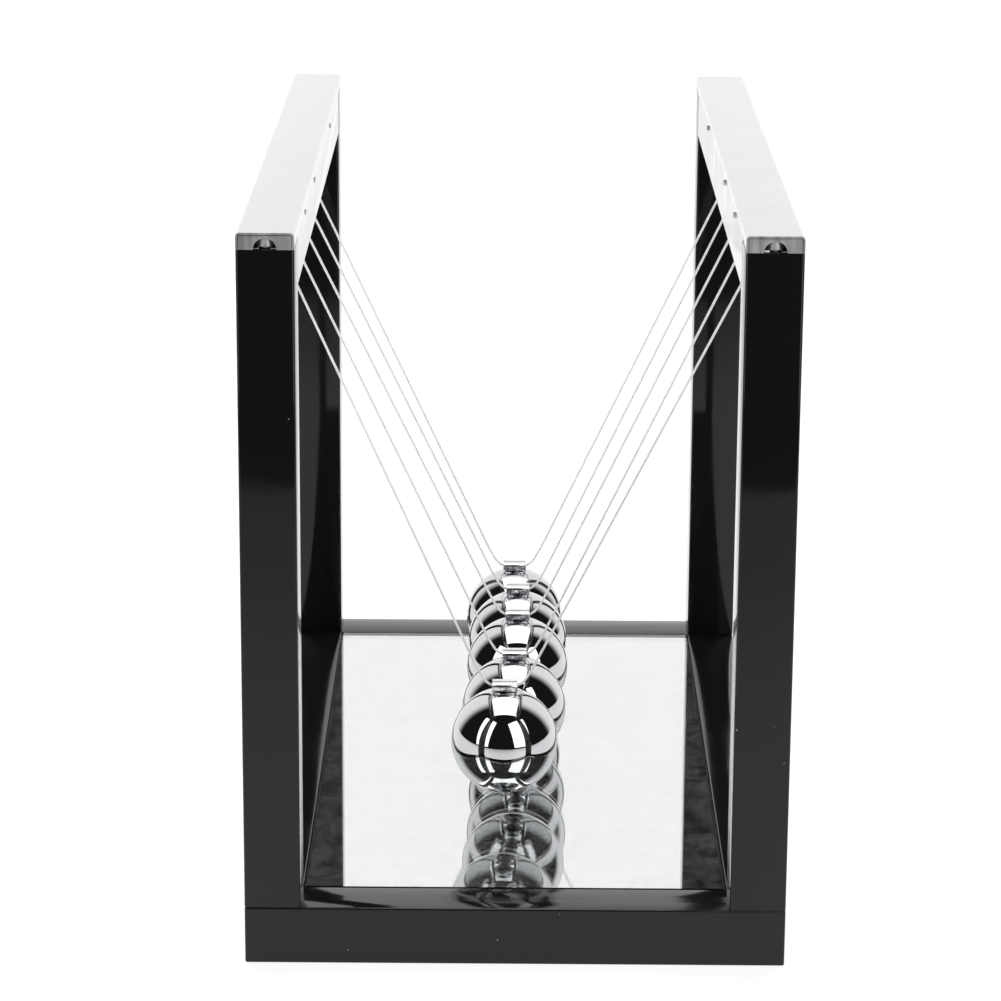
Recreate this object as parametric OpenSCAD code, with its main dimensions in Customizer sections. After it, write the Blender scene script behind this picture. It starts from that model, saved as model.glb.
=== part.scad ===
// Newton's cradle: a lacquered frame of a base slab and four posts, two folded steel channels
// along the top with a rail in each, a mirror let into the base, and five steel balls on nylon lines.
// +X is the right side, +Y the back, +Z up. The origin is under the middle of the base.

/* [Base] */
// Width of the base, side to side
base_w = 106; // [96:1:130]
// Depth of the base, along the row of balls
base_d = 187; // [176:1:230]
// Thickness of the base slab
base_h = 11.6; // [9:0.2:18]
// Rounding of the slab's and the posts' upright edges
edge_r = 0.5; // [0.3:0.1:1.5]

/* [Mirror] */
// Thickness of the mirror's glass
glass_t = 1.7; // [1.2:0.1:3]
// Thickness of the silvered and painted backing under the glass
backing_t = 0.3; // [0.2:0.1:0.6]
// Gap left round the mirror in its recess
mirror_gap = 0.2; // [0.1:0.05:0.5]

/* [Posts] */
// Width and depth of each square post
post_s = 11; // [9:0.5:14]
// Height of the whole cradle
top_z = 146; // [136:1:170]

/* [Channels] */
// Thickness of the folded sheet
sheet_t = 0.4; // [0.3:0.1:0.6]
// Outside radius of the channel's folds
fold_r = 0.8; // [0.7:0.1:1.1]
// Height of the channel's walls between the posts
wall_h = 12; // [10:0.5:16]
// Height of the channel's ends, which stand on the posts
end_h = 3.2; // [3:0.1:3.6]
// Slot between the two feet folded in at each end
foot_slot = 2.2; // [2.1:0.1:3]
// Height of the rail's underside above the channel's lower edges
rail_lift = 0.4; // [0.2:0.1:1]

/* [Balls] */
// Diameter of each ball
ball_d = 22; // [16:0.5:22]
// Distance between neighbouring balls' hanging points
ball_pitch = 22.3; // [22.3:0.1:24]

/* [Clips] */
// Width of the crimped clip on each ball, along the line
clip_w = 5.2; // [4:0.2:6]
// Depth of the clip, front to back
clip_d = 4.2; // [3.6:0.1:5]
// Height of the clip above the ball's top
clip_h = 1.75; // [1.7:0.05:2.2]
// Thickness of the clip's strip
strip_t = 0.4; // [0.3:0.05:0.4]

/* [Lines] */
// Diameter of the nylon lines
line_d = 0.5; // [0.4:0.05:0.6]
// Diameter of the knot that stops each line on top of its rail
knot_d = 1.6; // [1.4:0.1:2]
// Distance of the line holes from the inner faces of the posts
hole_in = 6; // [4:0.5:7]

/* [Hidden] */
ball_count = 5;
// how far each ball hangs out of line: to the right, and the height of its middle
ball_x = [-2.3, -0.3, 0.4, 0.5, -0.2];
ball_z = [29.4, 28.9, 30.7, 29.7, 28.4];
ball_y = [for (i = [0 : ball_count - 1]) (i - (ball_count - 1) / 2) * ball_pitch];

post_x = (base_w - post_s) / 2;
post_y = (base_d - post_s) / 2;
post_top = top_z - end_h;
inner_x = base_w / 2 - post_s;
hang_z = top_z - wall_h + rail_lift;
hole_x = inner_x + hole_in;
eye_r = 0.45;
// how far a cutter runs on past the face that it cuts
over = 1;
fit_gap = 0.05;

channel_room = post_s - 2 * sheet_t;

mirror_w = 2 * inner_x - 2 * mirror_gap;
mirror_d = base_d - 2 * post_s - 2 * mirror_gap;
recess_t = glass_t + backing_t;

// rails: their room inside the channel's folds and beside the posts, and the knots' pockets
rail_top_gap = 0.6;
rail_side_gap = 0.05;
rail_end_gap = 0.1;
pocket_d = 2.2;
pocket_h = 3;
// channel pins: small nails through the inner wall into the rail
pin_y = [-57, -23, 42];
pin_drop = 3;
pin_head_d = 1.6;
pin_head_t = 0.25;
pin_shank_d = 0.8;
pin_l = 5;
// channel screws: pan heads that stand on the feet
pan_d = 3.7;
pan_h = 2;
pan_shank_d = 1.8;
pan_shank_l = 9;
pan_cross_h = 0.9;
// how far the channel screws stand from the posts' front and back faces, and the notch for each
screw_in = 3;
screw_out = post_s / 2 - screw_in;
notch_r = 2.2;
// base screws: countersunk from below, up into the posts
csk_d = 6.6;
csk_cone_h = 2;
csk_sink = 0.4;
csk_shank_d = 2.8;
csk_shank_l = 28;
csk_cross_h = 1.2;
// the width of a cross recess, and its length as a share of the head
cross_w = 0.5;
cross_share = 0.55;
// how far two shapes of one screw run into each other
root = 0.6;

// a line's route beside its hole and beside its clip, as [inward or outward, up]
line_at_hole = [[0, 0], [0.1, -0.5], [0.4, -1.3], [0.8, -2.2]];
line_at_clip = [[-6.1, 4.4], [-5, 2.4], [-4, 0.9], [-2.8, 0]];
// how far under its hole a line starts, and how far the knot's stub comes down to meet it
line_start = 0.6;
stub_end = 0.45;
line_sides = 8;
// the line's height above the ball's top, and the clip's top corners and the seam between its lips
line_up = 1;
clip_r = 0.7;
seam_w = 0.35;

$fn = 48;

// A block standing on z = 0, with its upright edges rounded
module upright_block(w, d, h, r) {
    linear_extrude(h) {
        square([w - 2 * r, d], center = true);
        square([w, d - 2 * r], center = true);
        for (x = [-1, 1], y = [-1, 1])
            translate([x * (w / 2 - r), y * (d / 2 - r)]) circle(r);
    }
}

// Puts its children on each of the four posts, this far out from the middle of the post
module at_posts(z, out = 0) {
    for (x = [-1, 1], y = [-1, 1])
        translate([x * post_x, y * (post_y + out), z]) children();
}

// The slab under everything, with the mirror's recess and four countersunk screw holes
module base() {
    color("#1c1c1e") difference() {
        upright_block(base_w, base_d, base_h, edge_r);
        translate([-inner_x, post_s - base_d / 2, base_h - recess_t])
            cube([2 * inner_x, base_d - 2 * post_s, recess_t + over]);
        at_posts(-over) cylinder(d = csk_shank_d + 2 * fit_gap, h = base_h + 2 * over);
        at_posts(csk_sink) cylinder(d1 = csk_d, d2 = csk_shank_d, h = csk_cone_h);
        at_posts(-over) cylinder(d = csk_d, h = csk_sink + over);
    }
}

module mirror_sheet(z, t) {
    translate([-mirror_w / 2, -mirror_d / 2, z]) cube([mirror_w, mirror_d, t]);
}

// The clear plate whose face is level with the top of the base
module mirror_glass() {
    color("#dfe6e6") mirror_sheet(base_h - glass_t, glass_t);
}

// The silvering and its paint, on the underside of the glass
module mirror_backing() {
    color("#c9ccce") mirror_sheet(base_h - recess_t, backing_t);
}

// One post, with a pilot hole for the base screw and one for the channel screw
module post(x, y) {
    post_h = post_top - base_h;
    base_screw_tip = csk_sink + csk_cone_h + csk_shank_l - base_h;
    color("#1c1c1e") translate([x * post_x, y * post_y, base_h]) difference() {
        upright_block(post_s, post_s, post_h, edge_r);
        translate([0, 0, -over])
            cylinder(d = csk_shank_d + 2 * fit_gap, h = base_screw_tip + 2 * over);
        translate([0, y * screw_out, post_h - pan_shank_l - over])
            cylinder(d = pan_shank_d + 2 * fit_gap, h = pan_shank_l + 2 * over);
    }
}

// The outside or the inside of a channel's section, as a solid block under z = 0
module channel_block(w, r, h, length) {
    rotate([90, 0, 0]) linear_extrude(length, center = true) {
        translate([-w / 2, -h]) square([w, h - r]);
        translate([r - w / 2, -h]) square([w - 2 * r, h]);
        for (x = [-1, 1]) translate([x * (w / 2 - r), -r]) circle(r);
    }
}

// A folded sheet channel: walls between the posts, and over the post tops two feet folded in and
// an end flap folded down, with a notch for the screw's head
module channel(side) {
    color("#d8d9da") translate([side * post_x, 0, top_z]) {
        difference() {
            channel_block(post_s, fold_r, wall_h, base_d);
            translate([0, 0, -sheet_t])
                channel_block(channel_room, fold_r - sheet_t, wall_h + over, base_d + 2 * over);
            for (y = [-1, 1])
                translate([0, y * post_y, -end_h - wall_h / 2])
                    cube([post_s + 2 * over, post_s + 2 * rail_end_gap, wall_h], center = true);
            for (y = pin_y)
                translate([-side * post_s / 2, y, -pin_drop]) rotate([0, 90, 0])
                    cylinder(d = pin_shank_d + 2 * fit_gap, h = 2 * over, center = true);
        }
        for (x = [-1, 1], y = [-1, 1])
            translate([x * (channel_room + foot_slot) / 4, y * post_y, sheet_t / 2 - end_h])
                cube([(channel_room - foot_slot) / 2, post_s, sheet_t], center = true);
        for (y = [-1, 1]) translate([0, y * (base_d - sheet_t) / 2, -end_h]) difference() {
            translate([-channel_room / 2, -sheet_t / 2, 0]) cube([channel_room, sheet_t, end_h - sheet_t]);
            rotate([90, 0, 0]) cylinder(r = notch_r, h = sheet_t + over, center = true);
        }
    }
}

// The rail inside a channel, which carries the lines: a bar with five holes, each with a pocket
// in the top for the line's knot, and the pin holes in its inner side
module rail(side) {
    rail_w = channel_room - 2 * rail_side_gap;
    rail_d = base_d - 2 * post_s - 2 * rail_end_gap;
    rail_top = top_z - sheet_t - rail_top_gap;
    color("#1c1c1e") difference() {
        translate([side * post_x - rail_w / 2, -rail_d / 2, hang_z])
            cube([rail_w, rail_d, rail_top - hang_z]);
        for (y = ball_y) translate([side * hole_x, y, hang_z - over]) {
            cylinder(r = eye_r, h = rail_top - hang_z);
            translate([0, 0, rail_top - hang_z - pocket_h + over])
                cylinder(d = pocket_d, h = pocket_h + over);
        }
        for (y = pin_y) translate([side * inner_x, y, top_z - pin_drop]) rotate([0, 90 * side, 0])
            cylinder(d = pin_shank_d + 2 * fit_gap, h = pin_l + over);
    }
}

// The small nails that hold each channel on its rail
module channel_pins() {
    color("#8d8f92") for (side = [-1, 1], y = pin_y)
        translate([side * inner_x, y, top_z - pin_drop]) rotate([0, 90 * side, 0]) {
            translate([0, 0, -pin_head_t]) cylinder(d = pin_head_d, h = pin_head_t);
            cylinder(d = pin_shank_d, h = pin_l);
        }
}

// A cross recess cut down into a screw head
module cross_recess(size, depth) {
    for (a = [0, 90]) rotate(a) cube([size, cross_w, 2 * depth], center = true);
}

// The four pan-head screws that hold the channels' feet on the posts
module channel_screws() {
    dome_r = pan_d;
    color("#c8c9cb") at_posts(post_top + sheet_t, screw_out) {
        difference() {
            intersection() {
                cylinder(d = pan_d, h = pan_h);
                translate([0, 0, pan_h - dome_r]) sphere(dome_r, $fn = 64);
            }
            translate([0, 0, pan_h]) cross_recess(pan_d * cross_share, pan_cross_h);
        }
        translate([0, 0, -pan_shank_l]) cylinder(d = pan_shank_d, h = pan_shank_l + root);
    }
}

// The four countersunk screws up through the base into the posts
module base_screws() {
    color("#8d8f92") at_posts(csk_sink) {
        difference() {
            cylinder(d1 = csk_d - 2 * fit_gap, d2 = csk_shank_d - 2 * fit_gap, h = csk_cone_h - fit_gap);
            cross_recess(csk_d * cross_share, csk_cross_h);
        }
        translate([0, 0, csk_cone_h - root]) cylinder(d = csk_shank_d, h = csk_shank_l);
    }
}

// The knots on one rail, each in its pocket, with the stub of line that goes down its hole
module line_knots(side) {
    knot_z = top_z - sheet_t - rail_top_gap - pocket_h + knot_d / 2;
    color("#e9ebec") for (y = ball_y) translate([side * hole_x, y, 0]) {
        translate([0, 0, knot_z]) sphere(d = knot_d, $fn = 32);
        translate([0, 0, hang_z - stub_end]) cylinder(d = line_d, h = knot_z - hang_z + stub_end);
    }
}

function ball_place(i) = [ball_x[i], ball_y[i], ball_z[i]];

module ball(i) {
    color("#b9bbbe") translate(ball_place(i)) sphere(d = ball_d, $fn = 96);
}

// The outside or the inside of a clip's section, as a block along X with its top corners rounded
module clip_block(depth, bottom, top, r, width) {
    rotate([90, 0, 90]) linear_extrude(width, center = true) {
        translate([-depth / 2, bottom]) square([depth, top - bottom - r]);
        translate([r - depth / 2, bottom]) square([depth - 2 * r, top - bottom]);
        for (y = [-1, 1]) translate([y * (depth / 2 - r), top - r]) circle(r);
    }
}

// The clip that is welded on a ball: a strip folded up and crimped over the line, with a seam on top
module clip(i) {
    top = ball_d / 2 + clip_h;
    color("#b9bbbe") translate(ball_place(i)) difference() {
        clip_block(clip_d, ball_d / 2 - over, top, clip_r, clip_w);
        clip_block(clip_d - 2 * strip_t, ball_d / 2 + strip_t, top - strip_t, clip_r - strip_t, clip_w + over);
        translate([0, 0, top]) cube([clip_w + over, seam_w, 2 * strip_t + over], center = true);
        sphere(d = ball_d, $fn = 96);
    }
}

// The route of line i in its upright plane, from the left hole down through the clip and up again
function clip_eye(i) = [ball_x[i], ball_z[i] + ball_d / 2 + line_up];
function line_route(i) = concat(
    [for (p = line_at_hole) [p[0] - hole_x, hang_z - line_start + p[1]]],
    [for (p = line_at_clip) clip_eye(i) + p],
    [for (k = [len(line_at_clip) - 1 : -1 : 0]) clip_eye(i) + [-line_at_clip[k][0], line_at_clip[k][1]]],
    [for (k = [len(line_at_hole) - 1 : -1 : 0])
        [hole_x - line_at_hole[k][0], hang_z - line_start + line_at_hole[k][1]]]
);

function unit(v) = v / norm(v);
// the way the route runs at point k: the mean of the stretches before and after it
function route_way(route, k) = let (n = len(route)) unit(
    (k > 0 ? unit(route[k] - route[k - 1]) : [0, 0]) + (k < n - 1 ? unit(route[k + 1] - route[k]) : [0, 0]));

module line(i) {
    route = line_route(i);
    rings = len(route);
    points = [for (k = [0 : rings - 1], s = [0 : line_sides - 1])
        let (way = route_way(route, k), a = 360 * s / line_sides, r = line_d / 2)
        [route[k][0] - way[1] * r * cos(a), ball_y[i] + r * sin(a), route[k][1] + way[0] * r * cos(a)]];
    sides = [for (k = [0 : rings - 2], s = [0 : line_sides - 1])
        let (t = (s + 1) % line_sides, a = k * line_sides, b = a + line_sides)
        [a + s, a + t, b + t, b + s]];
    start = [for (s = [line_sides - 1 : -1 : 0]) s];
    end = [for (s = [0 : line_sides - 1]) (rings - 1) * line_sides + s];
    color("#eef0f1") polyhedron(points, concat(sides, [start], [end]));
}

base();
mirror_glass();
mirror_backing();
post(-1, -1);  // post_front_left
post(1, -1);  // post_front_right
post(-1, 1);  // post_back_left
post(1, 1);  // post_back_right
channel(-1);  // channel_left
channel(1);  // channel_right
rail(-1);  // rail_left
rail(1);  // rail_right
channel_pins();
channel_screws();
base_screws();
line_knots(-1);  // line_knots_left
line_knots(1);  // line_knots_right
ball(0);  // ball_1
ball(1);  // ball_2
ball(2);  // ball_3
ball(3);  // ball_4
ball(4);  // ball_5
clip(0);  // clip_1
clip(1);  // clip_2
clip(2);  // clip_3
clip(3);  // clip_4
clip(4);  // clip_5
line(0);  // line_1
line(1);  // line_2
line(2);  // line_3
line(3);  // line_4
line(4);  // line_5
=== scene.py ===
import math

import bmesh
import bpy
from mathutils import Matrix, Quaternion, Vector


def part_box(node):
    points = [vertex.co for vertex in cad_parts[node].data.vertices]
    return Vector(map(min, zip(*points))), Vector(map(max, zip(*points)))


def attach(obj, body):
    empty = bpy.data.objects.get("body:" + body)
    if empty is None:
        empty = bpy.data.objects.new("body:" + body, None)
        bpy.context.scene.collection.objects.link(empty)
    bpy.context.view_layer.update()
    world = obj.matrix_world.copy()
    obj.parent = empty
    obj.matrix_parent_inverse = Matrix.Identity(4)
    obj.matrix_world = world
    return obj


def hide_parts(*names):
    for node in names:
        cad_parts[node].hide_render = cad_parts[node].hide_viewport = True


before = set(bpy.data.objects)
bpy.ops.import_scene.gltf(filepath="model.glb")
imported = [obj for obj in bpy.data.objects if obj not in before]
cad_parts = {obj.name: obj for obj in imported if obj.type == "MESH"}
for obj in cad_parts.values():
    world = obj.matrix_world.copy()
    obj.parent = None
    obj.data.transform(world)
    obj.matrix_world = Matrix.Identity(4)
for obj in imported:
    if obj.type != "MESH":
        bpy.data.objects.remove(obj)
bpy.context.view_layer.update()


# ---------------------------------------------------------------- the camera
# The cradle is seen from its front end, a little above it, with a long lens, so that the row of
# balls lies along the view and the two channels run away from the eye.
mm = 0.001
camera_place = Vector((-2.46, -748.5, 279.6)) * mm
camera_pitch = math.radians(15.76)
camera_turn = math.radians(-0.079)
camera_tilt = math.radians(0.363)

bpy.ops.object.camera_add(location=camera_place)
camera = bpy.context.object
look = Vector((math.sin(camera_turn), math.cos(camera_turn), -math.tan(camera_pitch)))
camera.rotation_mode = "QUATERNION"
camera.rotation_quaternion = look.to_track_quat("-Z", "Y") @ Quaternion((0, 0, 1), camera_tilt)
camera.data.lens = 129.2
camera.data.sensor_width = 36
bpy.context.scene.camera = camera


# ---------------------------------------------------------------- the nylon lines
# Each ball hangs on one length of nylon monofilament, drawn and a little milky. It comes down
# out of a hole in the left rail, runs through the ball's clip and up to the right rail.
line_width = 0.5 * mm
hole_side = 48 * mm          # the holes in the rails, from the middle
hang_height = 134.4 * mm     # the rails' undersides, and so the axis that the balls swing about
line_start = 0.6 * mm        # how far under its hole the part that swings begins
ball_radius = 11 * mm
ball_pitch = 22.3            # this and the balls' places are in millimetres
clip_eye = 1 * mm            # the line inside a clip, above the ball's top
ball_middles = [
    Vector((x, (i - 2) * ball_pitch, z)) * mm
    for i, (x, z) in enumerate([(-2.3, 29.4), (-0.3, 28.9), (0.4, 30.7), (0.5, 29.7), (-0.2, 28.4)])
]
pendulums = ["pendulum_%d" % (i + 1) for i in range(len(ball_middles))]
# the line beside its hole and beside its clip, in millimetres: along the line's way, and up
line_at_hole = [(0, 0), (0.1, -0.5), (0.4, -1.3), (0.8, -2.2)]
line_at_clip = [(-6.1, 4.4), (-5, 2.4), (-4, 0.9), (-2.8, 0)]


def linear(hex_colour):
    """An sRGB hex colour as the linear colour that the shaders take."""
    parts = [int(hex_colour[i:i + 2], 16) / 255 for i in (1, 3, 5)]
    return tuple(c / 12.92 if c <= 0.04045 else ((c + 0.055) / 1.055) ** 2.4 for c in parts) + (1,)


def new_material(name, colour, **finish):
    """A material with one shader, its colour and the finish that is the same all over."""
    material = bpy.data.materials.new(name)
    material.use_nodes = True
    shader = material.node_tree.nodes["Principled BSDF"]
    shader.inputs["Base Color"].default_value = linear(colour)
    for setting, value in finish.items():
        shader.inputs[setting.replace("_", " ")].default_value = value
    return material, material.node_tree, shader


def add_node(tree, kind, settings, inputs):
    """Adds a node with its own settings, and gives each input a value or another node's output."""
    node = tree.nodes.new("ShaderNode" + kind)
    for setting, value in settings.items():
        setattr(node, setting, value)
    for key, value in inputs.items():
        if isinstance(value, bpy.types.NodeSocket):
            tree.links.new(value, node.inputs[key])
        else:
            node.inputs[key].default_value = value
    return node


def per_mm(size):
    """The scale that gives a pattern in metres one cell in this many millimetres."""
    return 1 / (size * mm)


def hand_over(piece, material, slot, body, *nodes):
    """Gives a finished piece its material and its body, and hides the design's nodes that it stands for."""
    piece.data.materials.clear()
    piece.data.materials.append(material)
    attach(piece, body)
    if nodes:
        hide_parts(*nodes)


def line_route(middle):
    """The points of one line, from its left hole to its right one."""
    eye = middle.z + ball_radius + clip_eye
    top = hang_height - line_start
    left = [(a * mm - hole_side, top + up * mm) for a, up in line_at_hole]
    clip = [(middle.x + a * mm, eye + up * mm) for a, up in line_at_clip]
    clip += [(middle.x - a * mm, eye + up * mm) for a, up in reversed(line_at_clip)]
    right = [(hole_side - a * mm, top + up * mm) for a, up in reversed(line_at_hole)]
    return [Vector((x, middle.y, z)) for x, z in left + clip + right]


def nylon():
    """Nylon 6 monofilament, melt drawn: so full of fine crystals that the thin line looks milky
    white against the black, with a soft bright streak along its length."""
    material, tree, shader = new_material("drawn_nylon", "#f2f3f4", Roughness=0.3, IOR=1.53)
    place = add_node(tree, "TexCoord", {}, {})
    haze = add_node(tree, "TexNoise", {}, {
        "Vector": place.outputs["Object"], "Scale": per_mm(6), "Detail": 2.0})
    rough = add_node(tree, "MapRange", {}, {
        "Value": haze.outputs["Fac"], "To Min": 0.24, "To Max": 0.38})
    tree.links.new(rough.outputs["Result"], shader.inputs["Roughness"])
    return material


def nylon_line(number, middle, material):
    """One line as a smooth curve through its route, which turns a little at each point."""
    route = line_route(middle)
    curve = bpy.data.curves.new("nylon_line_%d" % number, "CURVE")
    curve.dimensions = "3D"
    curve.bevel_depth = line_width / 2
    curve.bevel_resolution = 5
    curve.resolution_u = 6
    curve.use_fill_caps = True
    spline = curve.splines.new("BEZIER")
    spline.bezier_points.add(len(route) - 1)
    for k, (knot, place) in enumerate(zip(spline.bezier_points, route)):
        before, after = route[max(k - 1, 0)], route[min(k + 1, len(route) - 1)]
        steps = [(place - before), (after - place)]
        way = sum((s.normalized() for s in steps), Vector()).normalized()
        reach = min(s.length for s in steps if s.length > 0) / 3
        knot.co = place
        knot.handle_left, knot.handle_right = place - way * reach, place + way * reach
    piece = bpy.data.objects.new(curve.name, curve)
    bpy.context.collection.objects.link(piece)
    hand_over(piece, material, "clear_nylon", pendulums[number - 1], "line_%d" % number)


clear_nylon = nylon()
for number, middle in enumerate(ball_middles, 1):
    nylon_line(number, middle, clear_nylon)


# ---------------------------------------------------------------- the base slab
# One slab of fibreboard with a milled recess for the mirror, sprayed with black piano lacquer and
# buffed. Its arrises are slightly rounded, and four screw holes are countersunk from below.
base_low, base_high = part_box("base")
post_low, post_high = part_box("post_front_left")
glass_low, glass_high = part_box("mirror_glass")
backing_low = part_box("mirror_backing")[0]
post_width = post_high.x - post_low.x
post_side = base_high.x - post_width / 2
post_reach = base_high.y - post_width / 2
near = mm / 100              # how close two places are to count as one


def deselect_everything():
    """Leaves nothing selected, so that the next operator acts on what it makes."""
    bpy.ops.object.select_all(action="DESELECT")


def named(name):
    """The piece that was just added, with its name on the object and on the mesh."""
    piece = bpy.context.object
    piece.name = piece.data.name = name
    return piece


def add_block(name, low, high):
    """A block between two corners, ready to be shaped in edit mode."""
    deselect_everything()
    bpy.ops.mesh.primitive_cube_add(size=1, location=(low + high) / 2)
    block = named(name)
    block.scale = high - low
    bpy.ops.object.transform_apply(location=True, rotation=True, scale=True)
    return block


def edit(piece):
    """Opens one piece, and nothing else, in edit mode."""
    bpy.ops.object.mode_set(mode="OBJECT")
    deselect_everything()
    piece.select_set(True)
    bpy.context.view_layer.objects.active = piece
    bpy.ops.object.mode_set(mode="EDIT")


def pick_edges(piece, wanted):
    """In edit mode, selects just the edges whose two ends are wanted."""
    bpy.ops.mesh.select_mode(type="EDGE")
    bpy.ops.mesh.select_all(action="DESELECT")
    mesh = bmesh.from_edit_mesh(piece.data)
    for edge in mesh.edges:
        edge.select_set(wanted(edge.verts[0].co, edge.verts[1].co))
    bmesh.update_edit_mesh(piece.data)


def close_edit(piece, angle=35):
    """Leaves edit mode, with the faces smooth up to this angle."""
    bpy.ops.object.mode_set(mode="OBJECT")
    bpy.ops.object.shade_smooth_by_angle(angle=math.radians(angle))


def apply_modifier(piece, kind, **settings):
    """Adds a modifier, sets it and applies it."""
    deselect_everything()
    piece.select_set(True)
    bpy.context.view_layer.objects.active = piece
    modifier = piece.modifiers.new(kind.lower(), kind)
    for setting, value in settings.items():
        setattr(modifier, setting, value)
    bpy.ops.object.modifier_apply(modifier=modifier.name)


def cut_away(piece, cutters):
    """Cuts the space that the cutters fill out of a piece, and removes the cutters."""
    deselect_everything()
    for cutter in cutters:
        cutter.select_set(True)
    bpy.context.view_layer.objects.active = cutters[0]
    if len(cutters) > 1:
        bpy.ops.object.join()
    cutter = bpy.context.object
    apply_modifier(piece, "BOOLEAN", operation="DIFFERENCE", solver="EXACT", object=cutter)
    bpy.data.objects.remove(cutter)


def rod_cutter(radius, start, end, end_radius=None):
    """A round cutter between two points, tapered when its end has another radius."""
    deselect_everything()
    way = end - start
    bpy.ops.mesh.primitive_cone_add(
        vertices=48, radius1=radius, radius2=radius if end_radius is None else end_radius,
        depth=way.length, location=(start + end) / 2, rotation=way.to_track_quat("Z", "Y").to_euler())
    cutter = bpy.context.object
    bpy.ops.object.transform_apply(location=True, rotation=True, scale=True)
    return cutter


def lacquer():
    """Black polyester lacquer, sprayed and buffed: deep and glossy, with a faint orange peel in
    its reflections and some pale dust that has settled on it."""
    material, tree, shader = new_material(
        "black_piano_lacquer", "#131315", Roughness=0.07, IOR=1.38)
    place = add_node(tree, "TexCoord", {}, {})
    # the peel is real at 2 to 3 mm; the dust is drawn at 0.4 mm, coarser than real dust, to show
    peel = add_node(tree, "TexNoise", {}, {
        "Vector": place.outputs["Object"], "Scale": per_mm(2.5), "Detail": 1.0})
    rubbed = add_node(tree, "TexNoise", {}, {
        "Vector": place.outputs["Object"], "Scale": per_mm(18), "Detail": 4.0})
    rough = add_node(tree, "MapRange", {}, {
        "Value": rubbed.outputs["Fac"], "From Min": 0.3, "From Max": 0.7, "To Min": 0.05, "To Max": 0.11})
    spots = add_node(tree, "TexVoronoi", {}, {
        "Vector": place.outputs["Object"], "Scale": per_mm(3.2), "Randomness": 1.0})
    patches = add_node(tree, "TexNoise", {}, {
        "Vector": place.outputs["Object"], "Scale": per_mm(14), "Detail": 2.0})
    spot_size = add_node(tree, "MapRange", {}, {
        "Value": patches.outputs["Fac"], "From Min": 0.56, "From Max": 0.75, "To Min": 0.0, "To Max": 0.08})
    dust = add_node(tree, "Math", {"operation": "LESS_THAN"}, {
        0: spots.outputs["Distance"], 1: spot_size.outputs["Result"]})
    colour = add_node(tree, "Mix", {"data_type": "RGBA"}, {
        0: dust.outputs[0], 6: linear("#131315"), 7: linear("#8a8b8d")})
    bump = add_node(tree, "Bump", {}, {
        "Height": peel.outputs["Fac"], "Strength": 0.05, "Distance": 0.1 * mm})
    tree.links.new(colour.outputs[2], shader.inputs["Base Color"])
    tree.links.new(rough.outputs["Result"], shader.inputs["Roughness"])
    tree.links.new(bump.outputs["Normal"], shader.inputs["Normal"])
    return material


def base_slab():
    """The slab: a block with its edges rounded, then the recess and the screw holes cut into it."""
    upright_round = 0.5 * mm
    arris = 0.35 * mm
    rim = 0.25 * mm
    recess_x = post_side - post_width / 2
    recess_y = post_reach - post_width / 2
    over = base_high.z + mm
    screw_head = 3.3 * mm
    screw_shank = 1.45 * mm
    sink = 0.4 * mm
    cone = 2 * mm
    slab = add_block("base_slab", base_low, base_high)
    edit(slab)
    pick_edges(slab, lambda a, b: a.xy == b.xy)
    bpy.ops.mesh.bevel(offset=upright_round, segments=4, affect="EDGES")
    pick_edges(slab, lambda a, b: a.z == b.z)
    bpy.ops.mesh.bevel(offset=arris, segments=4, affect="EDGES")
    close_edit(slab)
    cut_away(slab, [add_block("recess", Vector((-recess_x, -recess_y, backing_low.z)),
                              Vector((recess_x, recess_y, over)))])
    for x, y in ((x * post_side, y * post_reach) for x in (-1, 1) for y in (-1, 1)):
        below, seat, neck, above = (Vector((x, y, z)) for z in (-mm, sink, sink + cone, over))
        cut_away(slab, [rod_cutter(screw_shank, below, above)])
        cut_away(slab, [rod_cutter(screw_head, below, seat)])
        cut_away(slab, [rod_cutter(screw_head, seat - Vector((0, 0, near)), neck, screw_shank)])
    edit(slab)
    pick_edges(slab, lambda a, b: all(p.z > base_high.z - near and abs(p.x) < recess_x + near
                                      and abs(p.y) < recess_y + near for p in (a, b)))
    bpy.ops.mesh.bevel(offset=rim, segments=2, affect="EDGES")
    close_edit(slab)
    return slab


black_lacquer = lacquer()
hand_over(base_slab(), black_lacquer, "black_lacquer", "frame", "base")


# ---------------------------------------------------------------- the posts
# Four square posts of the same lacquered board, glued and screwed on the corners of the slab, each
# with a pilot hole in its top, towards the end, for the screw that holds the channel.
screw_out = 2.5 * mm         # the channel's screws, from the middle of the post towards the end


def place_copy(master, name, place, turn=0):
    """A copy of a finished shape with its own mesh, turned about the upright and put in its place."""
    piece = master.copy()
    piece.data = master.data.copy()
    bpy.context.collection.objects.link(piece)
    piece.name = piece.data.name = name
    piece.location = place
    piece.rotation_euler.z = turn
    deselect_everything()
    piece.select_set(True)
    bpy.context.view_layer.objects.active = piece
    bpy.ops.object.transform_apply(location=True, rotation=True, scale=True)
    return piece


def post_master():
    """One back post: a block with rounded uprights, fine arrises and a pilot hole in its top."""
    upright_round = 0.5 * mm
    arris = 0.2 * mm
    pilot = 0.95 * mm
    pilot_depth = 9 * mm
    half = Vector((post_width / 2, post_width / 2, 0))
    post = add_block("post", Vector((0, 0, base_high.z)) - half, Vector((0, 0, post_high.z)) + half)
    edit(post)
    pick_edges(post, lambda a, b: (a - b).length > 2 * post_width)
    bpy.ops.mesh.bevel(offset=upright_round, segments=5, affect="EDGES")
    pick_edges(post, lambda a, b: a.z == b.z)
    bpy.ops.mesh.bevel(offset=arris, segments=2, affect="EDGES")
    close_edit(post)
    bottom = Vector((0, screw_out, post_high.z - pilot_depth))
    cut_away(post, [rod_cutter(pilot, bottom, bottom + Vector((0, 0, pilot_depth + mm)))])
    edit(post)
    close_edit(post)
    return post


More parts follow.
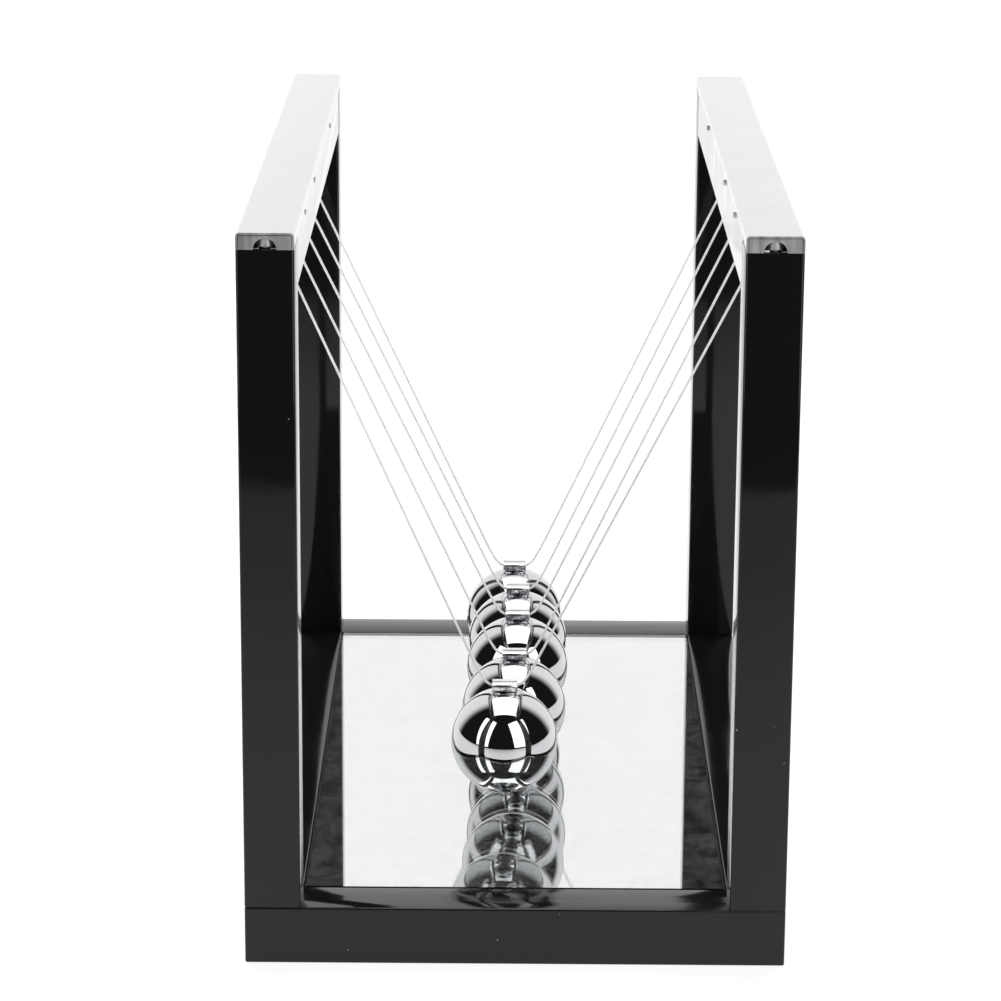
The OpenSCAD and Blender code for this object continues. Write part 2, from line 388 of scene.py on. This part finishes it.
master = post_master()
for end, y, turn in (("front", -post_reach, math.pi), ("back", post_reach, 0)):
    for side, x in (("left", -post_side), ("right", post_side)):
        hand_over(place_copy(master, "%s_%s_post" % (end, side), (x, y, 0), turn), black_lacquer,
                  "black_lacquer", "frame", "post_%s_%s" % (end, side))
bpy.data.objects.remove(master)


# ---------------------------------------------------------------- the base screws
# Four countersunk steel screws, zinc plated, that come up through the slab into the posts. They are
# seen only from below, sunk a little in the slab.


def zinc_plate():
    """Steel screws and pins, cold headed and zinc plated: a pale grey that is satin, not bright,
    in faint blotches."""
    material, tree, shader = new_material(
        "zinc_plated_steel", "#d8d9dc", Metallic=1.0, Roughness=0.45)
    place = add_node(tree, "TexCoord", {}, {})
    blotch = add_node(tree, "TexNoise", {}, {
        "Vector": place.outputs["Object"], "Scale": per_mm(0.8), "Detail": 3.0})
    rough = add_node(tree, "MapRange", {}, {
        "Value": blotch.outputs["Fac"], "From Min": 0.3, "From Max": 0.7, "To Min": 0.38, "To Max": 0.52})
    colour = add_node(tree, "Mix", {"data_type": "RGBA"}, {
        0: blotch.outputs["Fac"], 6: linear("#e6e7e9"), 7: linear("#cacbce")})
    tree.links.new(colour.outputs[2], shader.inputs["Base Color"])
    tree.links.new(rough.outputs["Result"], shader.inputs["Roughness"])
    return material


def dress(node, material):
    """Gives a design node, which keeps its own shape, its material."""
    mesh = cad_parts[node].data
    mesh.materials.clear()
    mesh.materials.append(material)


screw_steel = zinc_plate()
dress("base_screws", screw_steel)


# ---------------------------------------------------------------- the mirror
# A plate of float glass with ground arrises, silvered and painted on its underside, laid in the
# slab's recess so that its face is level with the slab. It carries a film of dust and smears.


def float_glass():
    """Low-iron float glass: clear, with hardly any tint, and perfectly smooth."""
    material, tree, shader = new_material(
        "float_glass", "#ffffff", Roughness=0.0, IOR=1.52, Transmission_Weight=1.0)
    place = add_node(tree, "TexCoord", {}, {})
    tint = add_node(tree, "TexNoise", {}, {
        "Vector": place.outputs["Object"], "Scale": per_mm(40), "Detail": 1.0})
    colour = add_node(tree, "Mix", {"data_type": "RGBA"}, {
        0: tint.outputs["Fac"], 6: linear("#ffffff"), 7: linear("#fdfefe")})
    tree.links.new(colour.outputs[2], shader.inputs["Base Color"])
    return material


def silvering():
    """Silver behind glass: a bright, neutral mirror, dulled by the dust and the wiped smears on
    the glass, which show grey wherever the mirror shows something dark."""
    material, tree, shader = new_material(
        "dusty_silvering", "#e2e3e3", Metallic=1.0, Roughness=0.015)
    place = add_node(tree, "TexCoord", {}, {})
    wiped = add_node(tree, "TexNoise", {}, {
        "Vector": place.outputs["Object"], "Scale": per_mm(4), "Detail": 5.0, "Roughness": 0.65})
    film = add_node(tree, "MapRange", {}, {
        "Value": wiped.outputs["Fac"], "From Min": 0.35, "From Max": 0.68, "To Min": 0.97, "To Max": 0.8})
    # the specks are drawn at 0.3 mm, coarser than real dust, to show
    grit = add_node(tree, "TexVoronoi", {}, {
        "Vector": place.outputs["Object"], "Scale": per_mm(2.6), "Randomness": 1.0})
    speck = add_node(tree, "MapRange", {}, {
        "Value": grit.outputs["Distance"], "From Min": 0.05, "From Max": 0.1,
        "To Min": 0.75, "To Max": 1.0})
    clean = add_node(tree, "Math", {"operation": "MULTIPLY"}, {
        0: film.outputs["Result"], 1: speck.outputs["Result"]})
    tree.links.new(clean.outputs[0], shader.inputs["Metallic"])
    return material


def mirror_plate():
    """The glass: a thin block with a ground arris all round, just clear of its silvering."""
    clearance = 0.02 * mm
    arris = 0.3 * mm
    plate = add_block("mirror_plate", glass_low + Vector((0, 0, clearance)), glass_high)
    edit(plate)
    bpy.ops.mesh.select_all(action="SELECT")
    bpy.ops.mesh.bevel(offset=arris, segments=1, affect="EDGES")
    close_edit(plate, 20)
    return plate


hand_over(mirror_plate(), float_glass(), "clear_glass", "frame", "mirror_glass")
dress("mirror_backing", silvering())


# ---------------------------------------------------------------- the channels
# Two channels folded from bright steel strip. Between the posts their walls hang down over the
# rails, with three pins through each. Over the posts they are lower, with two feet folded in under
# the screws, and each end is closed by a brushed flap that is notched for the screw's head.
channel_low, channel_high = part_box("channel_left")
sheet = 0.4 * mm
fold = 0.8 * mm
foot_fold = 0.5 * mm
foot_slot = 2.2 * mm
flap_gap = 0.1 * mm          # the open seam between an end flap and the walls
wall_reach = base_high.y - post_width - 0.1 * mm


def bright_steel():
    """Cold rolled steel strip, bright nickel plated: a clean cool mirror with a slight blur along
    the strip, where the rolls drew it, and faint rub marks. Its end flaps are brushed and dull."""
    material, tree, shader = new_material(
        "bright_plated_strip", "#c6c6c7", Metallic=1.0, Roughness=0.1)
    place = add_node(tree, "TexCoord", {}, {})
    drawn = add_node(tree, "Mapping", {}, {
        "Vector": place.outputs["Object"], "Scale": (1.0, 0.03, 1.0)})
    lines = add_node(tree, "TexNoise", {}, {
        "Vector": drawn.outputs["Vector"], "Scale": per_mm(0.35), "Detail": 3.0})
    rubs = add_node(tree, "TexNoise", {}, {
        "Vector": place.outputs["Object"], "Scale": per_mm(12), "Detail": 5.0})
    rough = add_node(tree, "MapRange", {}, {
        "Value": rubs.outputs["Fac"], "From Min": 0.3, "From Max": 0.7, "To Min": 0.06, "To Max": 0.14})
    colour = add_node(tree, "Mix", {"data_type": "RGBA"}, {
        0: rubs.outputs["Fac"], 6: linear("#c9c9ca"), 7: linear("#c2c2c3")})
    along = add_node(tree, "SeparateXYZ", {}, {"Vector": place.outputs["Object"]})
    from_middle = add_node(tree, "Math", {"operation": "ABSOLUTE"}, {0: along.outputs["Y"]})
    at_end = add_node(tree, "Math", {"operation": "GREATER_THAN"}, {
        0: from_middle.outputs[0], 1: base_high.y - sheet - near})
    upright = add_node(tree, "Mapping", {}, {
        "Vector": place.outputs["Object"], "Scale": (1.0, 1.0, 0.05)})
    brushed = add_node(tree, "TexNoise", {}, {
        "Vector": upright.outputs["Vector"], "Scale": per_mm(1.5), "Detail": 3.0})
    dull = add_node(tree, "Mix", {"data_type": "RGBA"}, {
        0: brushed.outputs["Fac"], 6: linear("#2c2c2e"), 7: linear("#e8e9ea")})
    both = add_node(tree, "Mix", {"data_type": "RGBA"}, {
        0: at_end.outputs[0], 6: colour.outputs[2], 7: dull.outputs[2]})
    both_rough = add_node(tree, "Mix", {"data_type": "FLOAT"}, {
        0: at_end.outputs[0], 2: rough.outputs["Result"], 3: 0.5})
    bump = add_node(tree, "Bump", {}, {
        "Height": lines.outputs["Fac"], "Strength": 0.04, "Distance": 0.05 * mm})
    tree.links.new(both.outputs[2], shader.inputs["Base Color"])
    tree.links.new(both_rough.outputs[0], shader.inputs["Roughness"])
    tree.links.new(bump.outputs["Normal"], shader.inputs["Normal"])
    return material


def fold_edge(middle, axis, degrees, steps):
    """In edit mode, sweeps the picked edge round a line, to the right as one looks along it."""
    bpy.ops.mesh.spin(steps=steps, angle=-math.radians(degrees), center=middle, axis=axis)


def draw_out(way):
    """In edit mode, extrudes the picked edge."""
    bpy.ops.mesh.extrude_region_move(TRANSFORM_OT_translate={"value": way})


def thicken(piece, thickness, offset, arris):
    """Gives a folded sheet its thickness, and takes the sharpness off its edges."""
    apply_modifier(piece, "SOLIDIFY", thickness=thickness, offset=offset, use_even_offset=True)
    apply_modifier(piece, "BEVEL", width=arris, segments=2, limit_method="ANGLE",
                   angle_limit=math.radians(60))
    edit(piece)
    bpy.ops.mesh.select_all(action="SELECT")
    bpy.ops.mesh.normals_make_consistent(inside=False)
    close_edit(piece)


def end_flap(end):
    """The flap that closes one end of a channel, with a notch for the head of the screw."""
    notch = 2.2 * mm
    arris = 0.05 * mm
    outer = end * base_high.y
    inner = outer - end * sheet
    across = Vector((post_width / 2 - sheet - flap_gap, 0, 0))
    foot = Vector((0, min(inner, outer), post_high.z))
    head = Vector((0, max(inner, outer), channel_high.z - sheet - flap_gap))
    flap = add_block("end_flap", foot - across, head + across)
    edit(flap)
    pick_edges(flap, lambda a, b: a.xz == b.xz and a.z > post_high.z + mm)
    bpy.ops.mesh.bevel(offset=fold - sheet, segments=4, affect="EDGES")
    close_edit(flap)
    cut_away(flap, [rod_cutter(notch, Vector((0, inner - end * mm, post_high.z)),
                               Vector((0, outer + end * mm, post_high.z)))])
    apply_modifier(flap, "BEVEL", width=arris, segments=2, limit_method="ANGLE",
                   angle_limit=math.radians(60))
    return flap


def channel_master():
    """One channel over the middle of the base, folded from its top strip: round folds, walls,
    feet, then the thickness and the flaps at its ends."""
    arris = 0.06 * mm
    top = channel_high.z
    flat_width = post_width - 2 * fold
    wall_x = post_width / 2
    foot = wall_x - foot_slot / 2 - foot_fold
    knee = post_high.z + foot_fold
    foot_reach = base_high.y - sheet - flap_gap
    deselect_everything()
    bpy.ops.mesh.primitive_plane_add(size=1, location=(0, 0, top))
    channel = named("channel")
    channel.scale = (flat_width, 2 * base_high.y, 1)
    bpy.ops.object.transform_apply(location=True, rotation=True, scale=True)
    edit(channel)
    for y in (-foot_reach, -wall_reach, wall_reach, foot_reach):
        bpy.ops.mesh.select_all(action="SELECT")
        bpy.ops.mesh.bisect(plane_co=(0, y, top), plane_no=(0, 1, 0))
    for way in (-1, 1):
        def along(a, b, x, z, start, end):
            return (all(abs(p.x - way * x) < near and abs(p.z - z) < near for p in (a, b))
                    and start < abs(a.y + b.y) / 2 < end)
        pick_edges(channel, lambda a, b: along(a, b, flat_width / 2, top, -mm, base_high.y))
        fold_edge((way * flat_width / 2, 0, top - fold), (0, 1, 0), way * 90, 6)
        draw_out((0, 0, knee - top + fold))
        pick_edges(channel, lambda a, b: along(a, b, wall_x, knee, -mm, wall_reach))
        draw_out((0, 0, channel_low.z - knee))
        pick_edges(channel, lambda a, b: along(a, b, wall_x, knee, foot_reach, base_high.y))
        draw_out((0, 0, -foot_fold))
        pick_edges(channel, lambda a, b: along(a, b, wall_x, knee, wall_reach, foot_reach))
        fold_edge((way * (wall_x - foot_fold), 0, knee), (0, 1, 0), way * 90, 4)
        draw_out((-way * foot, 0, 0))
    bpy.ops.mesh.select_all(action="SELECT")
    bpy.ops.mesh.remove_doubles(threshold=mm / 1000)
    bpy.ops.mesh.normals_make_consistent(inside=False)
    bpy.ops.object.mode_set(mode="OBJECT")
    top_face = max(channel.data.polygons, key=lambda face: face.center.z)
    if top_face.normal.z < 0:
        channel.data.flip_normals()
    thicken(channel, sheet, -1, arris)
    flaps = [end_flap(end) for end in (-1, 1)]
    deselect_everything()
    for piece in flaps + [channel]:
        piece.select_set(True)
    bpy.context.view_layer.objects.active = channel
    bpy.ops.object.join()
    edit(channel)
    close_edit(channel)
    return channel


strip_steel = bright_steel()
master = channel_master()
for side, x in (("left", -post_side), ("right", post_side)):
    hand_over(place_copy(master, side + "_channel", (x, 0, 0)), strip_steel, "bright_sheet_steel",
              "frame", "channel_" + side)
bpy.data.objects.remove(master)
dress("channel_screws", screw_steel)
dress("channel_pins", screw_steel)


# ---------------------------------------------------------------- the rails
# A bar of the same lacquered board lies inside each channel, glued between the posts. It is drilled
# for the five lines, and each hole is opened out at the top for the line's knot.
for side in ("left", "right"):
    dress("rail_" + side, black_lacquer)


# ---------------------------------------------------------------- the knots
# The line is stopped on top of each rail by an overhand knot, pulled tight in its pocket, and its
# stub comes down through the rail to where the swinging part of the line begins.
knot_low, knot_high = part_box("line_knots_left")


def knots_master():
    """The knots of one rail over the middle of the base, each a closed loop that winds through
    itself three times, with its stub."""
    knot_size = (knot_high.x - knot_low.x) / 2
    winding = knot_size / 1.75
    flatness = 0.6
    turns = 48
    pieces = []
    for middle in ball_middles:
        curve = bpy.data.curves.new("knot", "CURVE")
        curve.dimensions = "3D"
        curve.bevel_depth = line_width / 2
        curve.bevel_resolution = 2
        curve.use_fill_caps = True
        centre = Vector((0, middle.y, knot_high.z - knot_size))
        loop = curve.splines.new("POLY")
        loop.points.add(turns - 1)
        loop.use_cyclic_u = True
        for k, point in enumerate(loop.points):
            t = 2 * math.pi * k / turns
            wind = Vector(((math.sin(t) + 2 * math.sin(2 * t)) / 3,
                           (math.cos(t) - 2 * math.cos(2 * t)) / 3, -math.sin(3 * t) * flatness))
            point.co = (*(centre + wind * winding), 1)
        stub = curve.splines.new("POLY")
        stub.points.add(1)
        stub.points[0].co = (*centre, 1)
        stub.points[1].co = (centre.x, centre.y, knot_low.z, 1)
        piece = bpy.data.objects.new("knot", curve)
        bpy.context.collection.objects.link(piece)
        pieces.append(piece)
    deselect_everything()
    for piece in pieces:
        piece.select_set(True)
    bpy.context.view_layer.objects.active = pieces[0]
    bpy.ops.object.convert(target="MESH")
    bpy.ops.object.join()
    bpy.ops.object.shade_smooth()
    return named("knots")


master = knots_master()
for side, x in (("left", -hole_side), ("right", hole_side)):
    hand_over(place_copy(master, side + "_knots", (x, 0, 0)), clear_nylon, "clear_nylon",
              "frame", "line_knots_" + side)
bpy.data.objects.remove(master)


# ---------------------------------------------------------------- the balls
# Solid bearing steel balls, ground and polished bright. Each keeps four small beads of melted
# steel, where the corners of its clip are welded on.


def bearing_steel():
    """Hardened bearing steel, lapped and polished: a dark, neutral mirror with hardly any blur,
    and a few finger marks that soften it."""
    material, tree, shader = new_material(
        "polished_bearing_steel", "#c8c9cb", Metallic=1.0, Roughness=0.03)
    place = add_node(tree, "TexCoord", {}, {})
    marks = add_node(tree, "TexNoise", {}, {
        "Vector": place.outputs["Object"], "Scale": per_mm(4), "Detail": 5.0})
    rough = add_node(tree, "MapRange", {}, {
        "Value": marks.outputs["Fac"], "From Min": 0.35, "From Max": 0.7, "To Min": 0.015, "To Max": 0.05})
    colour = add_node(tree, "Mix", {"data_type": "RGBA"}, {
        0: marks.outputs["Fac"], 6: linear("#cbcccd"), 7: linear("#c4c5c8")})
    tree.links.new(colour.outputs[2], shader.inputs["Base Color"])
    tree.links.new(rough.outputs["Result"], shader.inputs["Roughness"])
    return material


def ball_master():
    """The ball at the origin, with the weld beads that stand proud of it at the clip's corners."""
    bead = 0.42 * mm
    bead_side = 1.5 * mm
    deselect_everything()
    bpy.ops.mesh.primitive_uv_sphere_add(segments=128, ring_count=64, radius=ball_radius)
    ball = named("steel_ball")
    beads = []
    for x, y in ((x * bead_side, y * clip_reach) for x in (-1, 1) for y in (-1, 1)):
        z = math.sqrt(ball_radius ** 2 - x ** 2 - y ** 2)
        deselect_everything()
        bpy.ops.mesh.primitive_uv_sphere_add(segments=20, ring_count=12, radius=bead,
                                             location=(x, y, z), scale=(1.6, 0.8, 0.6))
        beads.append(bpy.context.object)
    for piece in beads + [ball]:
        piece.select_set(True)
    bpy.context.view_layer.objects.active = ball
    bpy.ops.object.join()
    bpy.ops.object.transform_apply(location=True, rotation=True, scale=True)
    bpy.ops.object.shade_smooth()
    return ball


clip_low, clip_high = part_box("clip_1")
clip_reach = (clip_high.y - clip_low.y) / 2
ball_steel = bearing_steel()
master = ball_master()
for number, middle in enumerate(ball_middles, 1):
    hand_over(place_copy(master, "steel_ball_%d" % number, middle), ball_steel,
              "polished_ball_steel", pendulums[number - 1], "ball_%d" % number)
bpy.data.objects.remove(master)


# ---------------------------------------------------------------- the clips
# A strip of thin mild steel is laid on the ball, bent up at both edges and crimped over the line, so
# that its two lips meet in a seam on top. It is welded on the ball, which leaves it dull and mottled;
# its walls are also painted darker than its lips, as shade.
clip_width = clip_high.x - clip_low.x
strip = 0.4 * mm
seam = 0.35 * mm
foot_bend = 0.4 * mm         # the strip's bends, to the middle of its thickness
lip_bend = 0.5 * mm


def folded_strip():
    """Mild steel strip, folded and welded: a bright but soft mirror on the lips, rougher in blotches on the
    walls, where the weld's heat and spatter have marked it.
    The dark colour of those blotches is kept to the faces that look sideways, so the walls are painted
    darker than the lips, as shade."""
    material, tree, shader = new_material(
        "folded_mild_steel", "#c8c9cb", Metallic=1.0, Roughness=0.2)
    place = add_node(tree, "TexCoord", {}, {})
    heat = add_node(tree, "TexNoise", {}, {
        "Vector": place.outputs["Object"], "Scale": per_mm(1.1), "Detail": 4.0})
    upward = add_node(tree, "Attribute", {"attribute_name": "upward"}, {})
    # painted shade: how far each face looks up gates the dark colour, so the walls darken and the lips that
    # look up stay bright
    painted_wall_shade = add_node(tree, "MapRange", {}, {
        "Value": upward.outputs["Fac"], "From Min": 0.5, "From Max": 0.95, "To Min": 1.0, "To Max": 0.08})
    marked = add_node(tree, "MapRange", {}, {
        "Value": heat.outputs["Fac"], "From Min": 0.4, "From Max": 0.62, "To Min": 0.0, "To Max": 1.0})
    weld_marks_and_painted_shade = add_node(tree, "Math", {"operation": "MULTIPLY"}, {
        0: marked.outputs["Result"], 1: painted_wall_shade.outputs["Result"]})
    rough = add_node(tree, "MapRange", {}, {
        "Value": weld_marks_and_painted_shade.outputs[0], "To Min": 0.12, "To Max": 0.32})
    # the dark colour is weld marks and, limited to the walls by their facing, painted shade
    colour = add_node(tree, "Mix", {"data_type": "RGBA"}, {
        0: weld_marks_and_painted_shade.outputs[0], 6: linear("#dadbdc"), 7: linear("#737478")})
    bump = add_node(tree, "Bump", {}, {
        "Height": weld_marks_and_painted_shade.outputs[0], "Strength": 0.3, "Distance": 0.04 * mm})
    tree.links.new(colour.outputs[2], shader.inputs["Base Color"])
    tree.links.new(rough.outputs["Result"], shader.inputs["Roughness"])
    tree.links.new(bump.outputs["Normal"], shader.inputs["Normal"])
    return material


def clip_master():
    """The clip round a ball at the origin: half of it swept bend by bend, mirrored, thickened.
    Each face then keeps how far it looks up, which tells the lips from the walls for the painted shade on
    the walls."""
    floor = ball_radius + strip / 2
    wall_y = clip_reach - strip / 2
    lean = math.asin((wall_y - foot_bend) / (floor + foot_bend))
    foot_height = (floor + foot_bend) * math.cos(lean)
    lip_height = clip_high.z - ball_middles[0].z - strip / 2 - lip_bend
    flat = 0.1 * mm
    arris = 0.07 * mm
    across = (1, 0, 0)
    deselect_everything()
    bpy.ops.mesh.primitive_plane_add(size=1, location=(0, -flat / 2, floor))
    clip = named("clip")
    clip.scale = (clip_width, flat, 1)
    bpy.ops.object.transform_apply(location=True, rotation=True, scale=True)
    edit(clip)
    pick_edges(clip, lambda a, b: abs(a.y + flat) < near / 10 and abs(b.y + flat) < near / 10)
    fold_edge((0, 0, 0), across, math.degrees(lean - flat / floor), 5)
    fold_edge((0, foot_bend - wall_y, foot_height), across, -90 - math.degrees(lean), 6)
    draw_out((0, 0, lip_height - foot_height))
    fold_edge((0, lip_bend - wall_y, lip_height), across, -90, 6)
    draw_out((0, wall_y - lip_bend - seam / 2, 0))
    bpy.ops.object.mode_set(mode="OBJECT")
    apply_modifier(clip, "MIRROR", use_axis=(False, True, False), merge_threshold=near)
    edit(clip)
    bpy.ops.mesh.select_all(action="SELECT")
    bpy.ops.mesh.remove_doubles(threshold=mm / 1000)
    bpy.ops.mesh.normals_make_consistent(inside=False)
    bpy.ops.object.mode_set(mode="OBJECT")
    thicken(clip, strip, 0, arris)
    # how far each face looks up, read by the material to paint the walls darker than the lips, as shade
    upward = clip.data.attributes.new("upward", "FLOAT", "FACE")
    for face in clip.data.polygons:
        upward.data[face.index].value = face.normal.z
    return clip


clip_steel = folded_strip()
master = clip_master()
for number, middle in enumerate(ball_middles, 1):
    hand_over(place_copy(master, "folded_clip_%d" % number, middle), clip_steel,
              "folded_clip_steel", pendulums[number - 1], "clip_%d" % number)
bpy.data.objects.remove(master)


# ---------------------------------------------------------------- the studio
# A white table and a bright backdrop behind it, a soft box above, and one at each side of the
# camera. The room behind the camera is dark, so the black lacquer and the polished steel are
# drawn by what they reflect.


def softbox(name, place, width, height):
    """A soft box aimed at the cradle: an even rectangle of light, seen in reflections but not by
    the camera."""
    brightness = 2.4
    aim = Vector((0, 0, 0.05))
    light = bpy.data.lights.new(name, "AREA")
    light.shape = "RECTANGLE"
    light.size, light.size_y = width, height
    light.energy = brightness * math.pi * width * height
    box = bpy.data.objects.new(name, light)
    bpy.context.collection.objects.link(box)
    box.location = place
    box.rotation_euler = (aim - Vector(place)).to_track_quat("-Z", "Y").to_euler()
    box.visible_camera = False


def studio_room():
    """The room as it is reflected: bright behind the table, fading to dark at the sides."""
    world = bpy.data.worlds.new("studio")
    bpy.context.scene.world = world
    world.use_nodes = True
    tree = world.node_tree
    tree.nodes.clear()
    lift = math.radians(15)
    bright_within, dark_beyond = math.radians(47), math.radians(70)
    way = add_node(tree, "TexCoord", {}, {})
    facing = add_node(tree, "VectorMath", {"operation": "DOT_PRODUCT"}, {
        0: way.outputs["Generated"], 1: (0, math.cos(lift), math.sin(lift))})
    cove = add_node(tree, "MapRange", {"interpolation_type": "SMOOTHSTEP"}, {
        "Value": facing.outputs["Value"], "From Min": math.cos(dark_beyond),
        "From Max": math.cos(bright_within), "To Min": 0.012, "To Max": 1.18})
    seen = add_node(tree, "LightPath", {}, {})
    strength = add_node(tree, "Math", {"operation": "MAXIMUM"}, {
        0: cove.outputs["Result"], 1: seen.outputs["Is Camera Ray"]})
    light = add_node(tree, "Background", {}, {
        "Color": (1, 1, 1, 1), "Strength": strength.outputs[0]})
    add_node(tree, "OutputWorld", {}, {"Surface": light.outputs[0]})


def table_top():
    """The table: a white acrylic sheet lit from below, dimmer at its front, under the camera."""
    front, back, half_width = -0.72, 6.0, 4.0
    deselect_everything()
    bpy.ops.mesh.primitive_plane_add(size=1, location=(0, (front + back) / 2, 0))
    top = named("table_top")
    top.scale = (2 * half_width, back - front, 1)
    bpy.ops.object.transform_apply(location=True, rotation=True, scale=True)
    material, tree, shader = new_material("white_acrylic", "#808080", Roughness=0.6, IOR=1.49)
    shader.inputs["Emission Color"].default_value = linear("#ffffff")
    place = add_node(tree, "TexCoord", {}, {})
    along = add_node(tree, "SeparateXYZ", {}, {"Vector": place.outputs["Object"]})
    glow = add_node(tree, "MapRange", {"interpolation_type": "SMOOTHSTEP"}, {
        "Value": along.outputs["Y"], "From Min": -0.45, "From Max": -0.04, "To Min": 0.38, "To Max": 0.86})
    tree.links.new(glow.outputs["Result"], shader.inputs["Emission Strength"])
    top.data.materials.append(material)


studio_room()
table_top()
softbox("overhead_softbox", (0, 0.12, 1), 0.8, 0.9)
softbox("left_softbox", (-0.95, -0.85, 0.7), 0.75, 1.45)
softbox("right_softbox", (0.79, -1, 0.7), 0.97, 1.45)
bpy.context.scene.view_settings.view_transform = "Standard"
